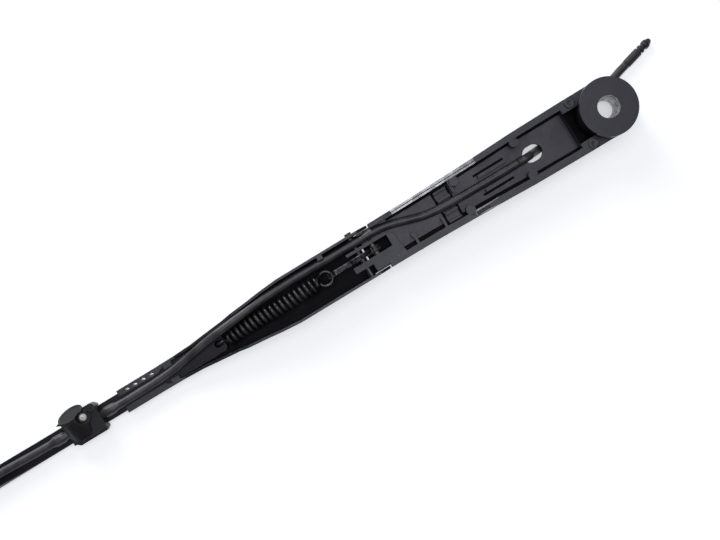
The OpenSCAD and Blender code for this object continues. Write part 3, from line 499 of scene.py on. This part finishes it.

# %% [markdown]
# ## Rounded edges on the rigid pieces
# A cast, folded or moulded edge is never sharp, and its small radius is what catches the light.
# The model's pieces are loose triangles with sharp edges, so each one is copied, its doubles are
# merged, its flat triangles are joined, and a bevel rounds the edges. The roundings are narrow,
# because a wider bevel folds over itself in the tight corners of these pieces.
#
# Each face gets two marks. Edge is set on the rounded rims, where the edge wear and painted
# highlight effect finds it.
# Inside is set on what faces up or has another wall of the same piece before it, where the depth
# shade finds it.

# %% Copies of the model's rigid nodes with rounded edges
EDGE_MM = {"head_casting": 0.07, "bush_thin_ear": 0.1, "bush_thick_ear": 0.1, "anchor_pin": 0.2,
           "hose_clip": 0.1, "channel": 0.1, "rod": 0.3, "pivot_pin": 0.25, "spring_link": 0.3,
           "jet_body_1": 0.12, "jet_cap_1": 0.15, "jet_ring_1": 0.1, "jet_ball_1": 0.08,
           "jet_body_2": 0.12, "jet_cap_2": 0.15, "jet_ring_2": 0.1, "jet_ball_2": 0.08}
ROUND_STEPS, SHARP_FROM, FLAT_WITHIN = 2, math.radians(30), math.radians(0.6)
SAME_CORNER, SAME_AFTER_ROUNDING = 2e-6, 1e-6
TAB_BACK_Y, FLOOR_NEAR_X = -9.9 * MM, 149 * MM
FACES_UP, WALL_WITHIN, OFF_FACE = 0.5, 0.04, 1e-5


def reach_in(node, mesh):
    """Two moves of corners that depart from the solid: the channel's folded tab is drawn back to
    the wall, and the floor of the casting's pocket reaches closer to the pivot pin."""
    if node == "channel":
        # The tab's free end, in millimetres.
        for v in mesh.vertices:
            x, y, z = v.co / MM
            if 169.5 < x < 173.1 and z > 5.3 and -9.5 < y < 0:
                v.co.y = TAB_BACK_Y
    if node == "head_casting":
        # The far edge of the pocket's floor, in millimetres.
        for v in mesh.vertices:
            x, y, z = v.co / MM
            if 147.6 < x < 148.4 and abs(y) < 3.8 and z < -5:
                v.co.x = FLOOR_NEAR_X


def taken(piece):
    """The piece's mesh as its modifiers leave it, given back to the piece without them."""
    bpy.context.view_layer.update()
    mesh = bpy.data.meshes.new_from_object(piece.evaluated_get(
        bpy.context.evaluated_depsgraph_get()))
    piece.modifiers.clear()
    piece.data = mesh
    return mesh


def merged(bm, nearness):
    """Joins corners that are this near, and drops faces that have no area left."""
    bmesh.ops.remove_doubles(bm, verts=bm.verts, dist=nearness)
    bmesh.ops.dissolve_degenerate(bm, edges=bm.edges, dist=nearness)


def dressed(node, width):
    """A copy of a node with rounded edges, its marks, its finish and its place on its body."""
    bm = bmesh.new()
    bm.from_mesh(nodes[node].data)
    merged(bm, SAME_CORNER)
    bmesh.ops.dissolve_limit(bm, angle_limit=FLAT_WITHIN, verts=bm.verts, edges=bm.edges)
    bmesh.ops.triangulate(bm, faces=[f for f in bm.faces if len(f.verts) > 4])
    mesh = bpy.data.meshes.new(node + "_rounded")
    bm.to_mesh(mesh)
    bm.free()
    piece = bpy.data.objects.new(node + "_rounded", mesh)
    scene.collection.objects.link(piece)
    mesh.shade_smooth()
    reach_in(node, mesh)
    # The bevel gives its own faces the second of two slots, which tells them from the flats.
    for _ in range(2):
        mesh.materials.append(FINISHES[slot_of[node]])
    bevel = piece.modifiers.new("rounding", "BEVEL")
    bevel.width, bevel.segments, bevel.limit_method = width, ROUND_STEPS, "ANGLE"
    bevel.angle_limit = SHARP_FROM
    bevel.use_clamp_overlap = bevel.loop_slide = False
    bevel.material = 1
    done = taken(piece)
    bm = bmesh.new()
    bm.from_mesh(done)
    merged(bm, SAME_AFTER_ROUNDING)
    bmesh.ops.recalc_face_normals(bm, faces=bm.faces)
    bm.to_mesh(done)
    bm.free()
    done.shade_smooth()
    weigh = piece.modifiers.new("even_flats", "WEIGHTED_NORMAL")
    weigh.mode, weigh.weight, weigh.keep_sharp = "FACE_AREA", 100, True
    done = taken(piece)
    done.name = node + "_rounded"
    edge = done.attributes.new("edge", "FLOAT", "FACE")
    edge.data.foreach_set("value", [float(face.material_index) for face in done.polygons])
    done.polygons.foreach_set("material_index", [0] * len(done.polygons))
    walls = BVHTree.FromPolygons([v.co for v in done.vertices],
                                 [tuple(face.vertices) for face in done.polygons])
    inside = done.attributes.new("inside", "FLOAT", "FACE")
    inside.data.foreach_set("value", [
        float(face.normal.z > FACES_UP
              or walls.ray_cast(face.center + OFF_FACE * face.normal, face.normal,
                                WALL_WITHIN)[0] is not None)
        for face in done.polygons])
    done.materials.clear()
    done.materials.append(FINISHES[slot_of[node]])
    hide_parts(node)
    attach(piece, nodes[node]["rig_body"])
    print(node, "faces", len(done.polygons))
    return piece


rounded = {node: dressed(node, width * MM) for node, width in EDGE_MM.items()}

# %% The bore in bare metal, and a painted highlight on the rim's sloped edge and a small step
BORE_REACH, BORE_FLOOR, FACES_SIDEWAYS = 6.4 * MM, -0.001 * MM, 0.9
SLOPE_FROM, SLOPE_TO, SLOPE_Y, SLOPE_Z = 72, 128, -9, 5
STEP_FROM, STEP_TO, STEP_Y, STEP_Z, STEP_AREA = 79, 88, 10.5, 6.6, 4e-5
casting = rounded["head_casting"].data
casting.materials.append(bare_bore)
casting.materials.append(highlight_strip)
bore_faces = highlight_faces = 0
for face in casting.polygons:
    middle, normal = face.center, face.normal
    if math.hypot(middle.x, middle.y) < BORE_REACH and middle.z > BORE_FLOOR:
        if abs(normal.z) < FACES_SIDEWAYS:
            face.material_index = 1
            bore_faces += 1
    x, y, z = middle / MM
    # The slope and step faces take the painted highlight, a light colour for the light they catch.
    slope = (SLOPE_FROM < x < SLOPE_TO and y < SLOPE_Y and z > SLOPE_Z
             and -0.97 < normal.y < -0.3 and normal.z > 0.2)
    step = (STEP_FROM < x < STEP_TO and y > STEP_Y and z > STEP_Z and normal.z > 0.9
            and face.area < STEP_AREA)
    if slope or step:
        face.material_index = 2
        highlight_faces += 1
print("bore faces", bore_faces, "highlight faces", highlight_faces)

# %% [markdown]
# ## The spring
# The spring is close-wound wire, so its shape follows a rule: a spiral of given radius, length
# and turns, with a round profile. Geometry Nodes state that rule with named inputs. The two end
# loops don't follow it, so they are swept along listed points and overlap the first and last coil.

# %% Spring coils from a rule
COIL_R, WIRE_R, COIL_LEN, TURNS, TURN_STEPS = 3.9 * MM, 1.1 * MM, 56 * MM, 18.0, 28
rule, r_in, r_out = group("spring_rule", [
    ("Turns", "NodeSocketFloat", TURNS), ("Coil Radius", "NodeSocketFloat", COIL_R),
    ("Length", "NodeSocketFloat", COIL_LEN), ("Wire Radius", "NodeSocketFloat", WIRE_R),
    ("Steps", "NodeSocketInt", TURN_STEPS), ("Finish", "NodeSocketMaterial", None)],
    [("Geometry", "NodeSocketGeometry")], kind="GeometryNodeTree")
spiral = rule.nodes.new("GeometryNodeCurveSpiral")
spiral.inputs["Reverse"].default_value = True
profile = rule.nodes.new("GeometryNodeCurvePrimitiveCircle")
profile.inputs["Resolution"].default_value = 12
sweep = rule.nodes.new("GeometryNodeCurveToMesh")
sweep.inputs["Fill Caps"].default_value = True
painted = rule.nodes.new("GeometryNodeSetMaterial")
real = rule.nodes.new("GeometryNodeRealizeInstances")
for a, b in ((r_in.outputs["Turns"], spiral.inputs["Rotations"]),
             (r_in.outputs["Coil Radius"], spiral.inputs["Start Radius"]),
             (r_in.outputs["Coil Radius"], spiral.inputs["End Radius"]),
             (r_in.outputs["Length"], spiral.inputs["Height"]),
             (r_in.outputs["Steps"], spiral.inputs["Resolution"]),
             (r_in.outputs["Wire Radius"], profile.inputs["Radius"]),
             (spiral.outputs[0], sweep.inputs["Curve"]),
             (profile.outputs[0], sweep.inputs["Profile Curve"]),
             (sweep.outputs[0], real.inputs[0]), (real.outputs[0], painted.inputs["Geometry"]),
             (r_in.outputs["Finish"], painted.inputs["Material"]),
             (painted.outputs[0], r_out.inputs["Geometry"])):
    rule.links.new(a, b)


def by_rule(name, tree, values):
    """A plain mesh made by a Geometry Nodes tree with these inputs."""
    blank = bpy.data.meshes.new(name + "_blank")
    maker = bpy.data.objects.new(name + "_maker", blank)
    scene.collection.objects.link(maker)
    modifier = maker.modifiers.new("rule", "NODES")
    modifier.node_group = tree
    for item in tree.interface.items_tree:
        if item.item_type == "SOCKET" and item.in_out == "INPUT" and item.name in values:
            modifier[item.identifier] = values[item.name]
    bpy.context.view_layer.update()
    mesh = bpy.data.meshes.new_from_object(maker.evaluated_get(
        bpy.context.evaluated_depsgraph_get()))
    bpy.data.objects.remove(maker)
    mesh.name = name
    piece = bpy.data.objects.new(name, mesh)
    scene.collection.objects.link(piece)
    return piece


SAME_RING = 1e-7
# The spring pulls along a line from the anchor pin down to the rod's tail, in millimetres.
PIN_X, PIN_Z, LOOP_X, TAIL_X, TAIL_DROP = 143.7, 2.0, 178.5, 242.95, 4.75
TILT = math.atan2(TAIL_DROP, TAIL_X - PIN_X)
on_axis = Matrix.Translation(Vector((PIN_X, 0, PIN_Z)) * MM) @ Matrix.Rotation(TILT, 4, "Y")
coil_x0 = (LOOP_X - PIN_X) * MM + WIRE_R
coils = by_rule("spring_coils", rule, {"Turns": TURNS, "Coil Radius": COIL_R, "Length": COIL_LEN,
                                       "Wire Radius": WIRE_R, "Steps": TURN_STEPS,
                                       "Finish": FINISHES["spring_steel"]})
lay_down = Matrix(((0, 0, 1), (0, -1, 0), (1, 0, 0))).to_4x4()
coils.data.transform(on_axis @ Matrix.Translation((coil_x0, 0, 0)) @ lay_down)
bm = bmesh.new()
bm.from_mesh(coils.data)
bmesh.ops.remove_doubles(bm, verts=bm.verts, dist=SAME_RING)
bmesh.ops.recalc_face_normals(bm, faces=bm.faces)
bm.to_mesh(coils.data)
bm.free()
coils.data.shade_smooth()
print("coil faces", len(coils.data.polygons), "box", [round(c / MM, 1) for c in coils.bound_box[0]])

# %% The spring's two end loops
HOOK_R = 2.86 * MM
loop_x = (LOOP_X - PIN_X) * MM - COIL_R
loop = [Vector((loop_x + COIL_R * math.cos(a), COIL_R * math.sin(a), 0))
        for a in (math.radians(10 + 300 * i / 13) for i in range(14))]
loop += [Vector((coil_x0 - 0.9 * MM, -0.55 * COIL_R, 0.65 * COIL_R)),
         Vector((coil_x0, 0, COIL_R)),
         Vector((coil_x0 + 0.25 * MM, COIL_R * 0.43, COIL_R * 0.9))]
far = (TAIL_X - PIN_X) * MM / math.cos(TILT)
end = coil_x0 + COIL_LEN
hook = [Vector((end - 0.2 * MM, -COIL_R * 0.43, COIL_R * 0.9)), Vector((end, 0, COIL_R)),
        Vector((end + 1.3 * MM, 0.4 * COIL_R, 0.55 * COIL_R))]
hook += [Vector((far - HOOK_R + HOOK_R * math.cos(a), 0, HOOK_R * math.sin(a) - 0.2 * HOOK_R))
         for a in (math.radians(150 - 200 * i / 9) for i in range(10))]
for name, points in (("spring_near_loop", loop), ("spring_far_hook", hook)):
    piece = tube(name, smooth_route([on_axis @ p for p in points], 3), WIRE_R, sides=12)
    piece.data.materials.append(FINISHES["spring_steel"])
    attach(piece, "link")
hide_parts("spring")
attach(coils, "link")

# %% [markdown]
# ## The washer hose along the arm
# One hose runs from the slot in the head to the second jet. It swells where short joining tubes
# sit inside it, on both sides of the first jet. It crosses the pivot.

# %% The long hose
hose_points = in_metres([
    (53.6, 0.5, 2.8), (66, 0.5, 2.8), (78, 0.4, 2.8), (88, 0.2, 2.8), (98, -0.1, 2.8),
    (108, -0.9, 2.8), (114, -2.1, 2.8), (120, -3.9, 2.8), (126, -5.8, 2.8), (131, -7.1, 2.8),
    (136, -8, 2.8), (142, -8.3, 2.8), (147, -8.3, 2.8), (152.1, -8.3, 2.8), (163, -8.4, 2.8),
    (174, -8.6, 2.8), (190, -8.8, 2.8), (205, -8.4, 2.8), (216, -7.6, 2.9), (227, -6.5, 3.1),
    (238, -5.3, 3.1), (248, -4.2, 0.8), (259, -2.4, -1.4), (270, -0.7, -2.4), (282, 0.1, -2.7),
    (294, 0.3, -2.7), (306, 0.3, -2.7), (320, 0, -2.7), (334, 0, -2.7), (346, -0.3, -2.7),
    (358, -0.5, -2.5), (372, -1, -2.2), (388, -1.4, -1.7), (404, -1.4, -0.9), (420, -1.4, 0.2),
    (436, -1.4, 1.5), (450, -1.4, 2.8), (462, -1.4, 3.95), (474, -1.4, 5.2)])


SWELL_MM = 0.75


def swelling(x, start, stop, edge):
    """1 between start and stop, with soft ends of length edge."""
    rise = min(max((x - start) / edge, 0), 1)
    fall = min(max((stop - x) / edge, 0), 1)
    return rise * rise * (3 - 2 * rise) * fall * fall * (3 - 2 * fall)


def hose_radius(here, gone):
    """The hose's radius, with its two swellings by the first jet."""
    x = here.x / MM
    bulge = SWELL_MM * (swelling(x, 306.5, 315.2, 1.8) + swelling(x, 338, 347.2, 2.2))
    return HOSE_R + bulge * MM


hose_route = smooth_route(hose_points, 10)
hose = tube("washer_hose", hose_route, hose_radius, sides=20)
hose.data.materials.append(FINISHES["hose_rubber"])
hose_tail.data.materials.append(FINISHES["hose_rubber"])
sleeve.data.materials.append(FINISHES["sleeve_rubber"])
connector.data.materials.append(FINISHES["connector_plastic"])
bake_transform(hose)
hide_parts("hose_head", "hose_arm")
print("hose length mm", round(length_of(hose_route) / MM))

# %% [markdown]
# ## Painted highlights in the crimp's dents
# The press that folded the channel over the rod left four oval dents. They lie in
# one row at an even pitch, so a rule places them: one flat oval, repeated along a line. Each is a
# thin pale skin, sunk in the sheet's own notch, a painted highlight for the light the dents catch.

# %% A row of ovals from a rule
DENTS, DENT_PITCH, DENT_TURN = 4, 5.13 * MM, -0.25
DENT_HALVES = (1.4 * MM, 0.75 * MM, 0.22 * MM)
FIRST_DENT = Vector((282.1, -4.7, -3.76)) * MM
row, o_in, o_out = group("row_of_ovals", [
    ("Count", "NodeSocketInt", DENTS), ("Pitch", "NodeSocketFloat", DENT_PITCH),
    ("Oval", "NodeSocketVector", DENT_HALVES), ("Turn", "NodeSocketFloat", DENT_TURN),
    ("Finish", "NodeSocketMaterial", None)],
    [("Geometry", "NodeSocketGeometry")], kind="GeometryNodeTree")
line = row.nodes.new("GeometryNodeMeshLine")
step = row.nodes.new("ShaderNodeCombineXYZ")
bead = row.nodes.new("GeometryNodeMeshIcoSphere")
bead.inputs["Radius"].default_value, bead.inputs["Subdivisions"].default_value = 1.0, 4
spin = row.nodes.new("ShaderNodeCombineXYZ")
copies = row.nodes.new("GeometryNodeInstanceOnPoints")
solid = row.nodes.new("GeometryNodeRealizeInstances")
coated = row.nodes.new("GeometryNodeSetMaterial")
for a, b in ((o_in.outputs["Count"], line.inputs["Count"]),
             (o_in.outputs["Pitch"], step.inputs[0]), (step.outputs[0], line.inputs["Offset"]),
             (line.outputs[0], copies.inputs["Points"]),
             (bead.outputs[0], copies.inputs["Instance"]),
             (o_in.outputs["Oval"], copies.inputs["Scale"]),
             (o_in.outputs["Turn"], spin.inputs[2]), (spin.outputs[0], copies.inputs["Rotation"]),
             (copies.outputs[0], solid.inputs[0]), (solid.outputs[0], coated.inputs["Geometry"]),
             (o_in.outputs["Finish"], coated.inputs["Material"]),
             (coated.outputs[0], o_out.inputs["Geometry"])):
    row.links.new(a, b)
# The row of ovals is a thin pale skin, a painted highlight in the dents.
dents = by_rule("crimp_dent_highlights", row, {"Count": DENTS, "Pitch": DENT_PITCH, "Turn": DENT_TURN,
                                     "Finish": dent_highlight})
dents.data.transform(Matrix.Translation(FIRST_DENT))
dents.data.shade_smooth()
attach(dents, "arm")
print("dent faces", len(dents.data.polygons))

# %% [markdown]
# ## Floor and light
# The arm lies on a bright table. The floor glows a little, as a lit sheet of paper does. The
# light comes from two windows on one side, one high and one low, and from a broad one above, so
# the shadow is soft and falls to the other side. The Standard view keeps the paper white.

# %% Floor
FLOOR_HALF, FLOOR_Z = 3, -0.0101
floor_mesh = bpy.data.meshes.new("floor")
floor_mesh.from_pydata([(x * FLOOR_HALF, y * FLOOR_HALF, FLOOR_Z)
                        for x, y in ((-1, -1), (1, -1), (1, 1), (-1, 1))], [], [(0, 1, 2, 3)])
floor = bpy.data.objects.new("floor", floor_mesh)
scene.collection.objects.link(floor)
paper = bpy.data.materials.new("pale_paper")
paper.use_nodes = True
paper_tree = paper.node_tree
paper_shader = paper_tree.nodes["Principled BSDF"]
paper_spot = node_in(paper_tree, "ShaderNodeTexCoord").outputs["Object"]
paper_clouds = spread(paper_tree, noise(paper_tree, paper_spot, 3.0), 0.3, 0.7)
paper_tone = mixed(paper_tree, paper_clouds, rgb(0.8, 0.81, 0.825), rgb(0.84, 0.85, 0.86))
paper_tree.links.new(paper_tone, paper_shader.inputs["Base Color"])
paper_shader.inputs["Roughness"].default_value = 0.7
paper_shader.inputs["Emission Color"].default_value = rgb(0.96, 0.98, 1.0)
paper_shader.inputs["Emission Strength"].default_value = 0.52
floor_mesh.materials.append(paper)

# %% Lights and sky
def window(name, place, aim, size, power):
    """A square area light of this size in metres and power in watts."""
    data = bpy.data.lights.new(name, "AREA")
    data.shape, data.size, data.energy = "SQUARE", size, power
    light = bpy.data.objects.new(name, data)
    scene.collection.objects.link(light)
    light.location = place
    light.rotation_euler = (Vector(aim) - Vector(place)).to_track_quat("-Z", "Y").to_euler()


window("window_side", (0.15, -1.1, 0.85), (0.15, 0, 0), 0.45, 3.2)
window("window_low", (0.4, -1.25, 0.4), (0.15, 0, 0), 0.7, 9)
window("window_over", (0.1, -0.1, 1.5), (0.16, 0, 0), 1.05, 7.8)
sky = bpy.data.worlds.new("studio_sky")
scene.world = sky
scene.view_settings.view_transform = "Standard"
sky.use_nodes = True
sky.node_tree.nodes["Background"].inputs["Color"].default_value = rgb(0.93, 0.96, 1.0)
sky.node_tree.nodes["Background"].inputs["Strength"].default_value = 0.22
